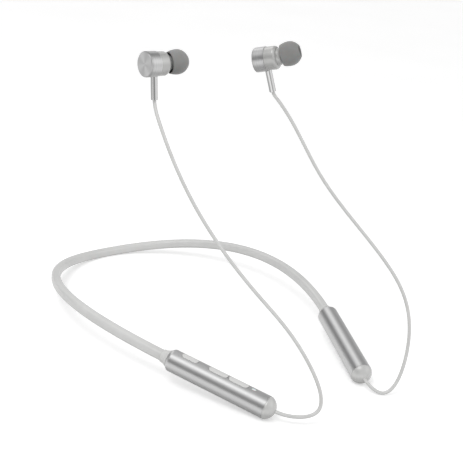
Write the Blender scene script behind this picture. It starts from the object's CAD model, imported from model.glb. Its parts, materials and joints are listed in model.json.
import json
import math

import bmesh
import bpy
import numpy as np
from mathutils import Matrix, Vector


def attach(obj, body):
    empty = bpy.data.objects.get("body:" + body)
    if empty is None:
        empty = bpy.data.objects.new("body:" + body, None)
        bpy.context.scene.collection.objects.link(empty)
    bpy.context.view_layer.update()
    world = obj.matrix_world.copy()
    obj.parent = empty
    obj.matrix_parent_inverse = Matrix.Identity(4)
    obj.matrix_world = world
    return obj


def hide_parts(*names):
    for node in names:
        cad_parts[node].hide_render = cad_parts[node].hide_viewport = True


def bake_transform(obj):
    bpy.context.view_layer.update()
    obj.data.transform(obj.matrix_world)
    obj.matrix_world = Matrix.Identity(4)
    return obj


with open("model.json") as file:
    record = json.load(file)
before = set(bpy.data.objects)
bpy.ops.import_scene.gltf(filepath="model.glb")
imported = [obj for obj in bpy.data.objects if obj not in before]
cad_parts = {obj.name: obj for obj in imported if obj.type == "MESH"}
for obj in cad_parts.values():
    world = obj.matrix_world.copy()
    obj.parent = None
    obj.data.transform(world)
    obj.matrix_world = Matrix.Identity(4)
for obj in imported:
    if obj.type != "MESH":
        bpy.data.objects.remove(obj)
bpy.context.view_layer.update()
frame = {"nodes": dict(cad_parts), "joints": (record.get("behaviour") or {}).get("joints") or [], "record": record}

# Neckband earphones. Lengths are in metres; MM turns millimetres into them.
MM = 0.001
joints = {joint["name"]: joint for joint in frame["joints"]}
mounts = {mount["name"]: mount for mount in frame["record"]["mounts"]}
nodes = frame["nodes"]
SIDES = {"right": -1, "left": 1}
PODS = {"right": "control", "left": "battery"}

# The driving sizes of the band and the pods, as in the CAD.
BAND_WIDTH = 5.2 * MM
BAND_CORNER = 1.7 * MM
HALF_SPAN = 56.0 * MM
BAND_DEPTH = 151.0 * MM
NAPE_HANDLE = 44.0 * MM
ARM_HANDLE = 104.0 * MM
TOE_IN = math.radians(24.0)
DROOP = math.radians(7.3)
CORE_OFFSET = 0.95 * MM
WIRE_RADIUS = 0.5 * MM
LOOM_RADIUS = 0.6 * MM
POD_RADIUS = 5.9 * MM
POD_LENGTH = 56.0 * MM
CABLE_RADIUS = 0.9 * MM
CABLE_EXIT = 4.8 * MM
CABLE_INSIDE = 3.0 * MM
BUD_RADIUS = 6.3 * MM
STEM_STATION = 5.6 * MM
STEM_LENGTH = 11.0 * MM
BUD_ROLL = {"right": math.radians(-9.5), "left": math.radians(8.5)}
NOZZLE_ROOT = 10.0 * MM
TIP_START = 4.3 * MM

# The joints of a cable, and the lengths that it is made of, from its pod to its earbud.
CABLE_JOINTS = (
    "cable_swing",
    "cable_bend_lower",
    "cable_bend_middle",
    "cable_bend_upper",
    "stem_flex",
)
LINKS = ("root", "turn", "lower", "middle", "upper", "end")


# ---------------------------------------------------------------- where things are


def pod_direction(side):
    level = Vector((-side * math.sin(TOE_IN), -math.cos(TOE_IN), 0))
    return level * math.cos(DROOP) - Vector((0, 0, math.sin(DROOP)))


def pod_rear(side):
    height = POD_RADIUS + POD_LENGTH * math.sin(DROOP)
    return Vector((side * HALF_SPAN, -BAND_DEPTH, height))


def band_point(side, station):
    """A point of half the band's centre line, a cubic curve from the nape to the pod."""
    rear = pod_rear(side)
    poles = [
        Vector((0, 0, BAND_WIDTH / 2)),
        Vector((side * NAPE_HANDLE, 0, BAND_WIDTH / 2)),
        rear - pod_direction(side) * ARM_HANDLE,
        rear,
    ]
    weights = [math.comb(3, k) * station**k * (1 - station) ** (3 - k) for k in range(4)]
    return sum((pole * weight for pole, weight in zip(poles, weights)), Vector())


def bud_axes(name):
    """The middle of a bud's rear face, and its x, y (away from the stem) and z (forward) axes."""
    mount = mounts[name + "_magnetic_face"]
    z = -Vector(mount["axis"]).normalized()
    upright = (Vector((0, 0, 1)) - z * z.z).normalized()
    y = Matrix.Rotation(BUD_ROLL[name], 3, z) @ upright
    return Vector(mount["pos_m"]), y.cross(z), y, z


def nozzle_axes(name):
    """Where a bud's nozzle starts, and its x, y and z (outward) axes."""
    rear, _, y, z = bud_axes(name)
    nozzle = Vector(joints[name + "_tip_pull"]["axis"]).normalized()
    x = y.cross(nozzle).normalized()
    return rear + z * NOZZLE_ROOT, x, nozzle.cross(x), nozzle


def bend_points(name):
    """The joints that a cable passes through, from its pod to its stem."""
    return [Vector(joints[f"{name}_{joint}"]["pos_m"]) for joint in CABLE_JOINTS]


def cable_ends(name):
    side = SIDES[name]
    rear, _, y, z = bud_axes(name)
    leaves = pod_rear(side) + pod_direction(side) * (POD_LENGTH + CABLE_EXIT)
    arrives = rear + z * STEM_STATION - y * (BUD_RADIUS + STEM_LENGTH)
    return leaves, pod_direction(side), arrives, y


def smooth_curve(points, first_slope, last_slope):
    """A twice-smooth cubic through points, with unit slopes given at its ends.

    Returns the curve as a function of the distance along the points, and the points' distances.
    """
    knots = np.concatenate([[0], np.cumsum([(b - a).length for a, b in zip(points, points[1:])])])
    places = np.array(points)
    gaps = np.diff(knots)
    count = len(points)
    system = np.zeros((count, count))
    target = np.zeros((count, 3))
    system[0, 0] = system[-1, -1] = 1
    target[0], target[-1] = first_slope, last_slope
    for i in range(1, count - 1):
        before, after = gaps[i - 1], gaps[i]
        system[i, i - 1 : i + 2] = after, 2 * (before + after), before
        rise_before = (places[i] - places[i - 1]) * after / before
        rise_after = (places[i + 1] - places[i]) * before / after
        target[i] = 3 * (rise_before + rise_after)
    slopes = np.linalg.solve(system, target)

    def value(station):
        i = int(min(np.searchsorted(knots, station, side="right") - 1, count - 2))
        gap = gaps[i]
        u = (station - knots[i]) / gap
        start = places[i] * (1 + 2 * u) * (1 - u) ** 2 + slopes[i] * gap * u * (1 - u) ** 2
        end = places[i + 1] * u * u * (3 - 2 * u) + slopes[i + 1] * gap * u * u * (u - 1)
        return Vector(start + end)

    return value, knots


# ---------------------------------------------------------------- making meshes


def new_object(name, mesh_data):
    mesh = bpy.data.meshes.new(name)
    mesh_data.to_mesh(mesh)
    mesh_data.free()
    mesh.shade_smooth()
    obj = bpy.data.objects.new(name, mesh)
    bpy.context.scene.collection.objects.link(obj)
    return obj


def skin(name, rings):
    """A closed tube through rings of points; neighbouring rings are joined point to point."""
    data = bmesh.new()
    loops = [[data.verts.new(point) for point in ring] for ring in rings]
    sides = len(rings[0])
    for low, high in zip(loops, loops[1:]):
        for i in range(sides):
            j = (i + 1) % sides
            data.faces.new((low[i], low[j], high[j], high[i]))
    for cap in (data.faces.new(list(reversed(loops[0]))), data.faces.new(loops[-1])):
        for edge in cap.edges:
            edge.smooth = False
    bmesh.ops.recalc_face_normals(data, faces=data.faces)
    return new_object(name, data)


def circle_section(radius, sides):
    """A round section, as (across, up) pairs."""
    angles = [2 * math.pi * i / sides for i in range(sides)]
    return [(radius * math.cos(angle), radius * math.sin(angle)) for angle in angles]


def rounded_square_section(width, corner, steps):
    """A square section with quarter-round corners, as (across, up) pairs."""
    reach = width / 2 - corner
    section = []
    for quarter, (x, y) in enumerate(((1, 1), (-1, 1), (-1, -1), (1, -1))):
        for i in range(steps + 1):
            angle = math.pi / 2 * (quarter + i / steps)
            across = x * reach + corner * math.cos(angle)
            section.append((across, y * reach + corner * math.sin(angle)))
    return section


def swept_rings(points, slopes, section, offset):
    """Rings of a section carried along points, kept upright, shifted sideways by offset."""
    rings = []
    for point, slope in zip(points, slopes):
        forward = slope.normalized()
        up = (Vector((0, 0, 1)) - forward * forward.z).normalized()
        across = up.cross(forward)
        rings.append([point + across * (x + offset) + up * y for x, y in section])
    return rings


def carried_rings(points, section):
    """Rings of a section carried along points with as little twist as possible."""
    slopes = [(b - a).normalized() for a, b in zip(points, points[1:])]
    slopes = [slopes[0]] + [(a + b).normalized() for a, b in zip(slopes, slopes[1:])] + [slopes[-1]]
    across = slopes[0].orthogonal().normalized()
    rings = []
    for before, slope, point in zip([slopes[0]] + slopes, slopes, points):
        across = before.rotation_difference(slope) @ across
        across = (across - slope * across.dot(slope)).normalized()
        up = slope.cross(across)
        rings.append([point + across * x + up * y for x, y in section])
    return rings


def lathe(name, axes, profile, segments=96):
    """A closed outline of (radius, height) points turned about the z axis of axes."""
    origin, x, y, z = axes
    data = bmesh.new()
    columns = []
    for i in range(segments):
        angle = 2 * math.pi * i / segments
        out = x * math.cos(angle) + y * math.sin(angle)
        columns.append([data.verts.new(origin + out * r + z * height) for r, height in profile])
    count = len(profile)
    for i in range(segments):
        here, there = columns[i], columns[(i + 1) % segments]
        for k in range(count):
            after = (k + 1) % count
            data.faces.new((here[k], there[k], there[after], here[after]))
    bmesh.ops.recalc_face_normals(data, faces=data.faces)
    return new_object(name, data)


def arc(centre, radius, start, end, steps):
    """Points of an arc in a profile, with angles in degrees from the radius direction."""
    angles = [math.radians(start + (end - start) * i / steps) for i in range(steps + 1)]
    return [(centre[0] + radius * math.cos(a), centre[1] + radius * math.sin(a)) for a in angles]


# ---------------------------------------------------------------- materials

# The colour sockets of a Mix node, whose names repeat for each type of data.
MIX_SHARE = 0
MIX_FIRST = 6
MIX_SECOND = 7
MIX_RESULT = 2


class NodeTree:
    """Short ways to add nodes to a node tree; a value may be a number or another node's output."""

    def __init__(self, tree):
        self.nodes = tree.nodes
        self.links = tree.links

    def put(self, socket, value):
        """Gives a socket a value, or links a node's output to it."""
        if isinstance(value, bpy.types.NodeSocket):
            self.links.new(value, socket)
        else:
            socket.default_value = value

    def maths(self, kind, *values):
        node = self.nodes.new("ShaderNodeMath")
        node.operation = kind
        for socket, value in zip(node.inputs, values):
            self.put(socket, value)
        return node.outputs[0]

    def vector_maths(self, kind, *values):
        node = self.nodes.new("ShaderNodeVectorMath")
        node.operation = kind
        for socket, value in zip(node.inputs, values):
            self.put(socket, value)
        return node.outputs["Value" if kind in ("DOT_PRODUCT", "LENGTH") else "Vector"]


class Shader(NodeTree):
    """One material, its surface and the nodes that drive it."""

    def __init__(self, name):
        self.material = bpy.data.materials.new(name)
        self.material.use_nodes = True
        super().__init__(self.material.node_tree)
        self.surface = self.nodes["Principled BSDF"]
        self.place = self.nodes.new("ShaderNodeTexCoord").outputs["Object"]

    def set(self, **values):
        """Sets sockets of the surface by name, with _ for each space."""
        for name, value in values.items():
            self.put(self.surface.inputs[name.replace("_", " ")], value)

    def noise(self, scale, detail):
        """Noise with about scale features to the metre, and finer ones in detail more steps."""
        node = self.nodes.new("ShaderNodeTexNoise")
        node.inputs["Scale"].default_value = scale
        node.inputs["Detail"].default_value = detail
        self.put(node.inputs["Vector"], self.place)
        return node.outputs["Fac"]

    def ramp(self, value, stops):
        """Maps a value to a colour; stops are (position, grey or colour)."""
        node = self.nodes.new("ShaderNodeValToRGB")
        self.put(node.inputs["Fac"], value)
        elements = node.color_ramp.elements
        while len(elements) < len(stops):
            elements.new(0.5)
        for element, (position, colour) in zip(elements, stops):
            element.position = position
            rgb = (colour,) * 3 if isinstance(colour, (int, float)) else colour
            element.color = (*rgb, 1)
        return node.outputs["Color"]

    def mixed(self, share, first, second):
        """A colour that goes from first to second as share goes from 0 to 1."""
        node = self.nodes.new("ShaderNodeMix")
        node.data_type = "RGBA"
        self.put(node.inputs[MIX_SHARE], share)
        self.put(node.inputs[MIX_FIRST], first)
        self.put(node.inputs[MIX_SECOND], second)
        return node.outputs[MIX_RESULT]

    def between(self, value, low, high):
        """A number that goes from low to high as value goes from 0 to 1."""
        node = self.nodes.new("ShaderNodeMapRange")
        self.put(node.inputs["Value"], value)
        node.inputs["To Min"].default_value = low
        node.inputs["To Max"].default_value = high
        return node.outputs["Result"]

    def bump(self, height, strength, distance, normal=None):
        """Gives the surface relief, on top of the relief in normal if there is one."""
        node = self.nodes.new("ShaderNodeBump")
        node.inputs["Strength"].default_value = strength
        node.inputs["Distance"].default_value = distance
        self.put(node.inputs["Height"], height)
        if normal is not None:
            self.put(node.inputs["Normal"], normal)
        self.put(self.surface.inputs["Normal"], node.outputs["Normal"])
        return node.outputs["Normal"]

    def world_direction(self, vector):
        """A direction given in the object's own frame, which turns with its body."""
        node = self.nodes.new("ShaderNodeVectorTransform")
        node.vector_type = "VECTOR"
        node.convert_from, node.convert_to = "OBJECT", "WORLD"
        self.put(node.inputs["Vector"], vector)
        return node.outputs["Vector"]

    def along(self, origin, axis):
        """How far the shaded point lies from origin along axis, in metres."""
        from_origin = self.vector_maths("SUBTRACT", self.place, origin)
        return self.vector_maths("DOT_PRODUCT", from_origin, axis)

    def across(self, origin, axis):
        """The vector from the line through origin along axis to the shaded point."""
        from_origin = self.vector_maths("SUBTRACT", self.place, origin)
        scale = self.nodes.new("ShaderNodeVectorMath")
        scale.operation = "SCALE"
        scale.inputs[0].default_value = axis
        self.put(scale.inputs["Scale"], self.vector_maths("DOT_PRODUCT", from_origin, axis))
        return self.vector_maths("SUBTRACT", from_origin, scale.outputs["Vector"])

    def turn(self, origin, x, y):
        """The angle of the shaded point about origin, from y towards x."""
        return self.maths("ARCTAN2", self.along(origin, x), self.along(origin, y))

    def lines(self, value, spacing):
        """Irregular fine lines, about one for every spacing that value grows by."""
        node = self.nodes.new("ShaderNodeTexNoise")
        node.noise_dimensions = "1D"
        node.inputs["Scale"].default_value = 1 / spacing
        self.put(node.inputs["W"], value)
        return node.outputs["Fac"]


# How deep the grooves left by a lathe or a drawing die are.
GROOVE_DEPTH = 0.01 * MM


def turned_metal(name, origin, axis, grey, roughness, ring_spacing, contrast):
    """Metal turned on a lathe: fine rings around its axis stretch the highlights along it."""
    shader = Shader(name)
    rings = shader.lines(shader.along(origin, axis), ring_spacing)
    smudges = shader.noise(scale=180, detail=4)
    tone = shader.maths("MULTIPLY_ADD", rings, 0.8, shader.maths("MULTIPLY", smudges, 0.2))
    shader.set(
        Base_Color=shader.ramp(tone, [(0.25, grey - contrast), (0.75, grey + contrast)]),
        Metallic=1.0,
        Roughness=shader.between(smudges, roughness - 0.03, roughness + 0.04),
        Anisotropic=0.3,
        Tangent=shader.world_direction(axis),
    )
    shader.bump(rings, strength=0.03, distance=GROOVE_DEPTH)
    return shader.material


def spun_metal(name, origin, x, y, axis, grey):
    """A metal disc faced on a lathe: circular grooves give it a sheen of radial sectors."""
    sector_pairs = 4
    groove_spacing = 0.10 * MM
    shader = Shader(name)
    out = shader.across(origin, axis)
    rings = shader.lines(shader.vector_maths("LENGTH", out), groove_spacing)
    wave = shader.maths("SINE", shader.maths("MULTIPLY", shader.turn(origin, x, y), sector_pairs))
    sectors = shader.maths("MULTIPLY_ADD", wave, 0.5, 0.5)
    tone = shader.maths("MULTIPLY_ADD", sectors, 0.6, shader.maths("MULTIPLY", rings, 0.4))
    shader.set(
        Base_Color=shader.ramp(tone, [(0.15, grey - 0.07), (0.85, grey + 0.07)]),
        Metallic=1.0,
        Roughness=0.30,
        Anisotropic=0.75,
        Tangent=shader.world_direction(shader.vector_maths("NORMALIZE", out)),
    )
    shader.bump(rings, strength=0.04, distance=GROOVE_DEPTH)
    return shader.material


def polished_metal(name, grey, roughness):
    """Plated or polished metal with a faint haze."""
    shader = Shader(name)
    haze = shader.noise(scale=260, detail=4)
    shader.set(
        Base_Color=shader.ramp(haze, [(0.3, grey - 0.04), (0.7, grey + 0.03)]),
        Metallic=1.0,
        Roughness=shader.between(haze, roughness, roughness + 0.07),
    )
    shader.bump(shader.noise(scale=2500, detail=2), strength=0.04, distance=0.01 * MM)
    return shader.material


# The greys of the drawn streaks once round a stem, starting opposite its front.
STREAKS = [
    (0.00, 0.70),
    (0.12, 0.45),
    (0.20, 0.85),
    (0.26, 0.70),
    (0.36, 0.42),
    (0.40, 0.40),
    (0.44, 0.80),
    (0.49, 0.90),
    (0.52, 0.38),
    (0.54, 0.38),
    (0.57, 0.98),
    (0.64, 0.80),
    (0.75, 0.85),
    (0.85, 0.50),
    (0.93, 0.90),
    (1.00, 0.70),
]


def drawn_chrome(name, origin, x, front, axis):
    """A plated tube: the streaks left by drawing run along it, over a mirror finish."""
    line_spacing = 0.10
    shader = Shader(name)
    turn = shader.turn(origin, x, front)
    fine = shader.lines(turn, line_spacing)
    shader.set(
        Base_Color=shader.ramp(shader.maths("MULTIPLY_ADD", turn, 0.5 / math.pi, 0.5), STREAKS),
        Metallic=1.0,
        Roughness=shader.between(fine, 0.06, 0.16),
        Anisotropic=0.4,
        Tangent=shader.world_direction(axis),
    )
    shader.bump(fine, strength=0.03, distance=GROOVE_DEPTH)
    return shader.material


def mottled(shader, colour, darkening, scale, detail):
    """A colour that varies a little over the surface, and the noise that it follows."""
    lightening = 0.02
    broad = shader.noise(scale, detail)
    darker = tuple(max(c - darkening, 0.0) for c in colour)
    lighter = tuple(c + lightening for c in colour)
    return shader.ramp(broad, [(0.3, darker), (0.7, lighter)]), broad


def moulded_plastic(name, colour, roughness, coat=0.0, grain=0.10, flake=0.0):
    """Moulded plastic with a faint grain, and a little variation in tone and gloss."""
    shader = Shader(name)
    base, _ = mottled(shader, colour, darkening=0.025, scale=120, detail=3)
    gloss = shader.noise(scale=700, detail=3)
    shader.set(
        Base_Color=base,
        Roughness=shader.between(gloss, roughness - 0.04, roughness + 0.06),
        Metallic=flake,
        Coat_Weight=coat,
        Coat_Roughness=0.12,
    )
    shader.bump(shader.noise(scale=5200, detail=2), strength=grain, distance=0.02 * MM)
    return shader.material


LINT = (0.85, 0.85, 0.84, 1)


def silicone(name, colour, roughness, grain, sheen, shine, soft):
    """Soft moulded silicone: satin, with a fine skin and the odd speck of lint.

    Sheen is the pale bloom at its edges, shine its reflection, and soft how much light goes in.
    """
    shader = Shader(name)
    base, broad = mottled(shader, colour, darkening=0.03, scale=90, detail=4)
    lint = shader.ramp(shader.noise(scale=1900, detail=2), [(0.70, 0.0), (0.78, 1.0)])
    specks = shader.maths("MULTIPLY", lint, 0.10)
    shader.set(
        Base_Color=shader.mixed(specks, base, LINT),
        Roughness=shader.between(broad, roughness - 0.02, roughness + 0.02),
        Specular_IOR_Level=shine,
        Sheen_Weight=sheen,
        Sheen_Roughness=0.45,
        Subsurface_Weight=soft,
        Subsurface_Scale=0.8 * MM,
    )
    skin_relief = shader.bump(shader.noise(scale=3600, detail=3), grain, distance=0.03 * MM)
    waves = shader.noise(scale=240, detail=2)
    shader.bump(waves, strength=0.04, distance=0.04 * MM, normal=skin_relief)
    return shader.material


def circuit_board(name):
    """Green solder mask over faint copper tracks."""
    shader = Shader(name)
    tracks = shader.nodes.new("ShaderNodeTexBrick")
    tracks.inputs["Scale"].default_value = 420
    tracks.inputs["Mortar Size"].default_value = 0.06
    tracks.inputs["Color1"].default_value = (0.010, 0.075, 0.030, 1)
    tracks.inputs["Color2"].default_value = (0.012, 0.090, 0.036, 1)
    tracks.inputs["Mortar"].default_value = (0.045, 0.200, 0.080, 1)
    shader.put(tracks.inputs["Vector"], shader.place)
    shader.set(Base_Color=tracks.outputs["Color"], Roughness=0.32, Coat_Weight=0.4)
    shader.bump(tracks.outputs["Fac"], strength=0.2, distance=0.03 * MM)
    return shader.material


def foam(name):
    """Dark open-celled foam."""
    shader = Shader(name)
    cells = shader.nodes.new("ShaderNodeTexVoronoi")
    cells.inputs["Scale"].default_value = 2600
    shader.put(cells.inputs["Vector"], shader.place)
    shader.set(
        Base_Color=shader.ramp(cells.outputs["Distance"], [(0.0, 0.01), (0.6, 0.09)]),
        Roughness=0.95,
    )
    shader.bump(cells.outputs["Distance"], strength=0.8, distance=0.2 * MM)
    return shader.material


def woven_mesh(name, origin, x, y):
    """A fine wire mesh over the sound outlet: dark holes between bright wires."""
    shader = Shader(name)
    pitch = 0.32 * MM
    waves = []
    for direction in (x, y):
        turns = shader.maths("MULTIPLY", shader.along(origin, direction), 2 * math.pi / pitch)
        waves.append(shader.maths("ABSOLUTE", shader.maths("SINE", turns)))
    wire = shader.maths("SUBTRACT", 1.0, shader.maths("MULTIPLY", *waves))
    shader.set(
        Base_Color=shader.ramp(wire, [(0.25, 0.01), (0.55, 0.45)]),
        Metallic=1.0,
        Roughness=0.35,
    )
    shader.bump(wire, strength=0.6, distance=0.05 * MM)
    return shader.material


def light_pipe(name):
    """Frosted clear plastic over an unlit light."""
    frost_dark = (0.86, 0.87, 0.88)
    frost_light = (0.95, 0.96, 0.97)
    shader = Shader(name)
    frost = shader.noise(scale=2400, detail=2)
    shader.set(
        Base_Color=shader.ramp(frost, [(0.3, frost_dark), (0.7, frost_light)]),
        Roughness=shader.between(frost, 0.25, 0.42),
        Subsurface_Weight=0.3,
        Subsurface_Scale=0.3 * MM,
    )
    shader.bump(frost, strength=0.1, distance=0.02 * MM)
    return shader.material


def paint(node, material):
    """Gives a CAD node a material."""
    mesh = nodes[node].data
    mesh.materials.clear()
    mesh.materials.append(material)


def dress(obj, material):
    """Gives a new piece a material."""
    obj.data.materials.append(material)
    return obj


LIGHT_GREY = (0.70, 0.70, 0.69)
DARK_GREY = (0.28, 0.28, 0.275)
band_skin = silicone("band_silicone", LIGHT_GREY, 0.16, grain=0.03, sheen=0.08, shine=1.0, soft=0.0)
cable_skin = silicone("cable_jacket", LIGHT_GREY, 0.18, grain=0.03, sheen=0.08, shine=1.0, soft=0.0)
tip_skin = silicone("tip_silicone", DARK_GREY, 0.50, grain=0.18, sheen=0.35, shine=0.5, soft=0.12)
pearl = moulded_plastic("pearl_plastic", (0.56, 0.56, 0.55), 0.22, coat=0.9, grain=0.03, flake=0.35)
collar_grey = moulded_plastic("collar_plastic", LIGHT_GREY, 0.34)
button_grey = moulded_plastic("button_plastic", (0.76, 0.76, 0.75), 0.25, coat=0.3, grain=0.04)
cap_pearl = moulded_plastic("cap_plastic", (0.66, 0.66, 0.65), 0.20, coat=1.0, grain=0.03, flake=0.2)
black = moulded_plastic("black_plastic", (0.035, 0.035, 0.035), 0.4)
wrap = moulded_plastic("cell_wrap", (0.10, 0.18, 0.42), 0.25, coat=0.5)
film = moulded_plastic("film", (0.72, 0.66, 0.48), 0.2)
loom = moulded_plastic("loom_jacket", (0.04, 0.04, 0.04), 0.45)
tinned = polished_metal("shield_can", 0.62, 0.22)
nickel = polished_metal("magnet", 0.55, 0.12)
spring_steel = polished_metal("spring_steel", 0.50, 0.18)
board_green = circuit_board("circuit_board")


# ---------------------------------------------------------------- the band

BAND_RINGS = 130
CORNER_STEPS = 7
WIRE_SIDES = 12

# The band's skin and what runs in it: a name, a section, how far outward it lies, a material, the
# end of the names of the nodes it stands for, and its slot.
BAND_LAYERS = (
    (
        "band",
        rounded_square_section(BAND_WIDTH, BAND_CORNER, CORNER_STEPS),
        0,
        band_skin,
        "sleeve",
        "band_silicone",
    ),
    (
        "spring",
        circle_section(WIRE_RADIUS, WIRE_SIDES),
        -CORE_OFFSET,
        spring_steel,
        "memory_wire",
        "spring_steel",
    ),
    (
        "loom",
        circle_section(LOOM_RADIUS, WIRE_SIDES),
        CORE_OFFSET,
        loom,
        "wire_loom",
        "loom_jacket",
    ),
)


def build_band_half(name, side):
    """One half of the band, its skin and what runs in it, bending smoothly from nape to arm."""
    stations = [i / BAND_RINGS for i in range(BAND_RINGS + 1)]
    points = [band_point(side, station) for station in stations]
    step = 0.5 / BAND_RINGS
    slopes = [
        band_point(side, min(station + step, 1)) - band_point(side, max(station - step, 0))
        for station in stations
    ]
    for layer, section, offset, material, node, slot in BAND_LAYERS:
        rings = swept_rings(points, slopes, section, offset * side)
        piece = dress(skin(f"{name}_{layer}", rings), material)
        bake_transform(piece)
        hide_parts(f"nape_{node}", f"{name}_arm_{node}")


# ---------------------------------------------------------------- cables

RING_STEP = 0.6 * MM
CABLE_SIDES = 24


def build_cable(name):
    """One cable in five lengths; each bends about one joint, from mid-link to mid-link."""
    leaves, forward, arrives, stem_up = cable_ends(name)
    bends = bend_points(name)
    curve, knots = smooth_curve([leaves, *bends, arrives], forward, stem_up)
    middles = [(a + b) / 2 for a, b in zip(knots, knots[1:])]
    cuts = [knots[0], *middles[1:-1], knots[-1]]
    last = len(bends) - 1
    for i in range(len(bends)):
        start, end = cuts[i], cuts[i + 1]
        steps = max(2, round((end - start) / RING_STEP))
        points = [curve(start + (end - start) * k / steps) for k in range(steps + 1)]
        if i == 0:
            points.insert(0, leaves - forward * (CABLE_EXIT + CABLE_INSIDE))
        if i == last:
            points.append(arrives + stem_up * STEM_LENGTH)
        rings = carried_rings(points, circle_section(CABLE_RADIUS, CABLE_SIDES))
        piece = dress(skin(f"{name}_cable_{i + 1}", rings), cable_skin)
        begin = leaves if i == 0 else curve(start)
        finish = arrives if i == last else curve(end)
        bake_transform(piece)
        stood_for = LINKS[i:] if i == last else LINKS[i : i + 1]
        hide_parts(*[f"{name}_cable_{link}" for link in stood_for])


# ---------------------------------------------------------------- ear tips

TIP_RADIUS = 6.2 * MM
TIP_WIDEST = 4.1 * MM
TIP_SKIRT_RADIUS = 5.4 * MM
TIP_SKIRT_ARC = 10.9 * MM
TIP_WALL = 0.6 * MM
TIP_BORE = 2.65 * MM
TIP_SLEEVE = 3.3 * MM
TIP_MOUTH = 3.0 * MM
TIP_BEVEL = 0.12 * MM
TIP_BEVEL_RISE = 0.15 * MM


def tip_outline():
    """The closed outline of an ear tip's wall, as (radius, height) points."""
    skirt_low = -math.degrees(math.asin(TIP_WIDEST / TIP_SKIRT_ARC))
    skirt_centre = (TIP_RADIUS - TIP_SKIRT_ARC, TIP_WIDEST)
    dome_centre = (0, TIP_WIDEST)
    dome_low = 5
    mouth_angle = math.degrees(math.acos(TIP_MOUTH / TIP_RADIUS))
    inner_radius = TIP_RADIUS - TIP_WALL
    inner_mouth = math.degrees(math.acos(TIP_SLEEVE / inner_radius))
    outer_skirt = arc(skirt_centre, TIP_SKIRT_ARC, skirt_low, 0, 10)
    outer_dome = arc(dome_centre, TIP_RADIUS, dome_low, mouth_angle - 4, 18)
    top = TIP_WIDEST + TIP_RADIUS * math.sin(math.radians(mouth_angle))
    lip = [
        (TIP_MOUTH + 0.18 * MM, top - 0.02 * MM),
        (TIP_MOUTH - 0.05 * MM, top - 0.05 * MM),
        (TIP_BORE + 0.04 * MM, top - 0.30 * MM),
        (TIP_BORE, top - 0.60 * MM),
    ]
    sleeve = [
        (TIP_BORE, TIP_BEVEL_RISE),
        (TIP_BORE + TIP_BEVEL, 0),
        (TIP_SLEEVE - TIP_BEVEL, 0),
        (TIP_SLEEVE, TIP_BEVEL_RISE),
    ]
    inner_dome = arc(dome_centre, inner_radius, inner_mouth - 3, dome_low, 14)
    inner_skirt = arc(skirt_centre, TIP_SKIRT_ARC - TIP_WALL, 0, skirt_low + 1, 10)
    rolled_edge = [
        (TIP_SKIRT_RADIUS - TIP_WALL * 0.75, 0.03 * MM),
        (TIP_SKIRT_RADIUS - TIP_WALL * 0.3, -0.03 * MM),
    ]
    return outer_skirt + outer_dome + lip + sleeve + inner_dome + inner_skirt + rolled_edge


def build_tip(name):
    """A silicone ear tip: a thin dome folded back from a rolled mouth over a sleeve."""
    root, x, y, z = nozzle_axes(name)
    axes = (root + z * TIP_START, x, y, z)
    tip = dress(lathe(f"{name}_tip", axes, tip_outline()), tip_skin)
    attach(tip, f"{name}_tip")
    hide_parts(f"{name}_ear_tip")


# ---------------------------------------------------------------- metal, plastic and inner parts


def paint_pods():
    """The materials of both pods and of what they hold."""
    for name, side in SIDES.items():
        pod = PODS[name]
        metal = turned_metal(
            f"{pod}_metal",
            pod_rear(side),
            pod_direction(side),
            grey=0.70,
            roughness=0.34,
            ring_spacing=0.12 * MM,
            contrast=0.04,
        )
        paint(f"{pod}_tube", metal)
        paint(f"{pod}_rear_collar", collar_grey)
        paint(f"{pod}_end_cap", cap_pearl)
    for button in ("volume_up", "multifunction", "volume_down"):
        paint(f"{button}_button", button_grey)
    paint("status_light_pipe", light_pipe("light_pipe"))
    for node in ("tact_switches", "bluetooth_module", "microphone", "usb_c_receptacle"):
        paint(node, tinned)
    for node in ("control_board", "battery_protection_board"):
        paint(node, board_green)
    paint("control_chassis", collar_grey)
    paint("battery_cell", wrap)
    paint("battery_foam_pad", foam("foam"))


# The side of both stems that the middle of the drawn streaks lies on.
STEM_FRONT = Vector((-0.66, -0.75, 0))


def paint_bud(name):
    """The materials of one earbud."""
    rear, x, y, z = bud_axes(name)
    metal = turned_metal(
        f"{name}_barrel_metal",
        rear,
        z,
        grey=0.68,
        roughness=0.32,
        ring_spacing=0.45 * MM,
        contrast=0.12,
    )
    paint(f"{name}_barrel", metal)
    paint(f"{name}_back_cap", spun_metal(f"{name}_cap_metal", rear, x, y, z, grey=0.60))
    paint(f"{name}_front_housing", pearl)
    stem_top = rear + z * STEM_STATION
    front = (STEM_FRONT - y * y.dot(STEM_FRONT)).normalized()
    chrome = drawn_chrome(f"{name}_stem_metal", stem_top, y.cross(front), front, y)
    paint(f"{name}_stem", chrome)
    paint(f"{name}_driver_frame", black)
    paint(f"{name}_diaphragm", film)
    for part in ("driver_magnet", "clasp_magnet"):
        paint(f"{name}_{part}", nickel)
    root, x, y, _ = nozzle_axes(name)
    paint(f"{name}_nozzle_mesh", woven_mesh(f"{name}_mesh_steel", root, x, y))


# ---------------------------------------------------------------- floor, light and camera

FLOOR_REACH = 3.0
UNSEEN_FLOOR = (0.5, 0.5, 0.5, 1)
SEEN_GLOW = (0.38, 0.38, 0.38, 1)


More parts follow.
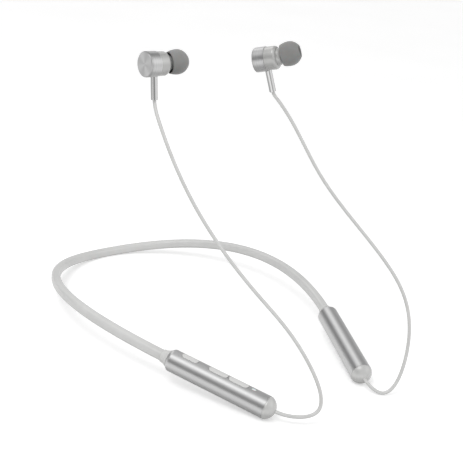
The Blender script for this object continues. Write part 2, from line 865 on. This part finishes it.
def build_floor():
    """A pale floor; it casts less light up on the part than it seems to, least straight up."""
    data = bmesh.new()
    bmesh.ops.create_grid(data, x_segments=1, y_segments=1, size=FLOOR_REACH)
    floor = new_object("floor", data)
    shader = Shader("pale_floor")
    seen = shader.nodes.new("ShaderNodeLightPath").outputs["Is Camera Ray"]
    incoming = shader.nodes.new("ShaderNodeNewGeometry").outputs["Incoming"]
    steepness = shader.vector_maths("DOT_PRODUCT", incoming, (0, 0, 1))
    cast_up = shader.ramp(steepness, [(0.55, 0.42), (0.85, 0.03)])
    paper = shader.ramp(shader.noise(scale=6, detail=2), [(0.3, 0.84), (0.7, 0.87)])
    shader.set(
        Base_Color=shader.mixed(seen, UNSEEN_FLOOR, paper),
        Roughness=0.9,
        Emission_Color=shader.mixed(seen, cast_up, SEEN_GLOW),
        Emission_Strength=1.0,
    )
    dress(floor, shader.material)


# Directions from the object, how bright the light from there is, and how tightly it is gathered.
REFLECTIONS = [
    ((-0.42, 0.00, 0.90), 1.35, 22),
    ((0.19, 0.68, 0.72), 0.85, 14),
    ((0.60, -0.65, 0.45), 0.60, 10),
    ((-0.95, -0.20, 0.30), -0.42, 14),
    ((-0.24, 0.86, 0.45), -0.55, 22),
    ((0.42, 0.32, 0.84), -0.40, 12),
    ((0.80, 0.40, 0.44), -0.10, 10),
]
AMBIENT = 0.55
SEEN_WORLD = 1.0


def build_world():
    """A white room; metal sees soft panels and darker gaps between them."""
    world = bpy.data.worlds.new("studio")
    bpy.context.scene.world = world
    world.use_nodes = True
    tree = NodeTree(world.node_tree)
    background = tree.nodes["Background"]
    direction = tree.nodes.new("ShaderNodeTexCoord").outputs["Generated"]
    total = AMBIENT
    for towards, brightness, tightness in REFLECTIONS:
        facing = tree.vector_maths("DOT_PRODUCT", direction, Vector(towards).normalized())
        falloff = tree.maths("MULTIPLY", tree.maths("SUBTRACT", facing, 1.0), tightness)
        total = tree.maths("MULTIPLY_ADD", tree.maths("EXPONENT", falloff), brightness, total)
    mix = tree.nodes.new("ShaderNodeMix")
    mix.data_type = "FLOAT"
    tree.put(mix.inputs["Factor"], tree.nodes.new("ShaderNodeLightPath").outputs["Is Camera Ray"])
    tree.put(mix.inputs["A"], total)
    tree.put(mix.inputs["B"], SEEN_WORLD)
    tree.put(background.inputs["Strength"], mix.outputs["Result"])
    tree.put(background.inputs["Color"], (1, 1, 1, 1))


KEY_PLACE = Vector((-0.5, -0.3, 0.9))
KEY_TARGET = Vector((0, -0.1, 0.05))
KEY_SIZE = 0.5
KEY_WATTS = 2.6


def build_key_light():
    """A soft lamp above the wearer's right, which metal doesn't mirror."""
    light = bpy.data.lights.new("key", "AREA")
    light.shape = "DISK"
    light.size = KEY_SIZE
    light.energy = KEY_WATTS
    obj = bpy.data.objects.new("key", light)
    bpy.context.scene.collection.objects.link(obj)
    obj.visible_glossy = False
    obj.location = KEY_PLACE
    obj.rotation_euler = (KEY_TARGET - KEY_PLACE).to_track_quat("-Z", "Y").to_euler()


# The camera's bearing, height, tilt and distance, how far it stands off the middle of the band,
# and its focal length as a share of its sensor's width.
CAMERA_AZIMUTH = math.radians(-41.126)
CAMERA_ELEVATION = math.radians(21.121)
CAMERA_ROLL = math.radians(6.599)
CAMERA_DISTANCE = 535.76 * MM
CAMERA_TARGET = Vector((0, -90.0 * MM, 0))
CAMERA_SHIFT = (27.208 * MM, 47.124 * MM)
LENS_SHARE = 1.93698


def build_camera():
    """The camera, tilted a little to one side."""
    level_reach = math.cos(CAMERA_ELEVATION)
    back = Vector(
        (
            math.sin(CAMERA_AZIMUTH) * level_reach,
            -math.cos(CAMERA_AZIMUTH) * level_reach,
            math.sin(CAMERA_ELEVATION),
        )
    )
    level_right = Vector((math.cos(CAMERA_AZIMUTH), math.sin(CAMERA_AZIMUTH), 0))
    level_up = back.cross(level_right)
    right = level_right * math.cos(CAMERA_ROLL) + level_up * math.sin(CAMERA_ROLL)
    up = back.cross(right)
    lens = bpy.data.cameras.new("camera")
    lens.lens = lens.sensor_width * LENS_SHARE
    lens.clip_start = 10 * MM
    camera = bpy.data.objects.new("camera", lens)
    bpy.context.scene.collection.objects.link(camera)
    camera.matrix_world = Matrix((right, up, back)).transposed().to_4x4()
    shift = right * CAMERA_SHIFT[0] + up * CAMERA_SHIFT[1]
    camera.location = CAMERA_TARGET + shift + back * CAMERA_DISTANCE
    bpy.context.scene.camera = camera


for name, side in SIDES.items():
    build_band_half(name, side)
    build_cable(name)
    build_tip(name)
    paint_bud(name)
paint_pods()
build_floor()
build_world()
build_key_light()
build_camera()
bpy.context.scene.view_settings.view_transform = "Standard"
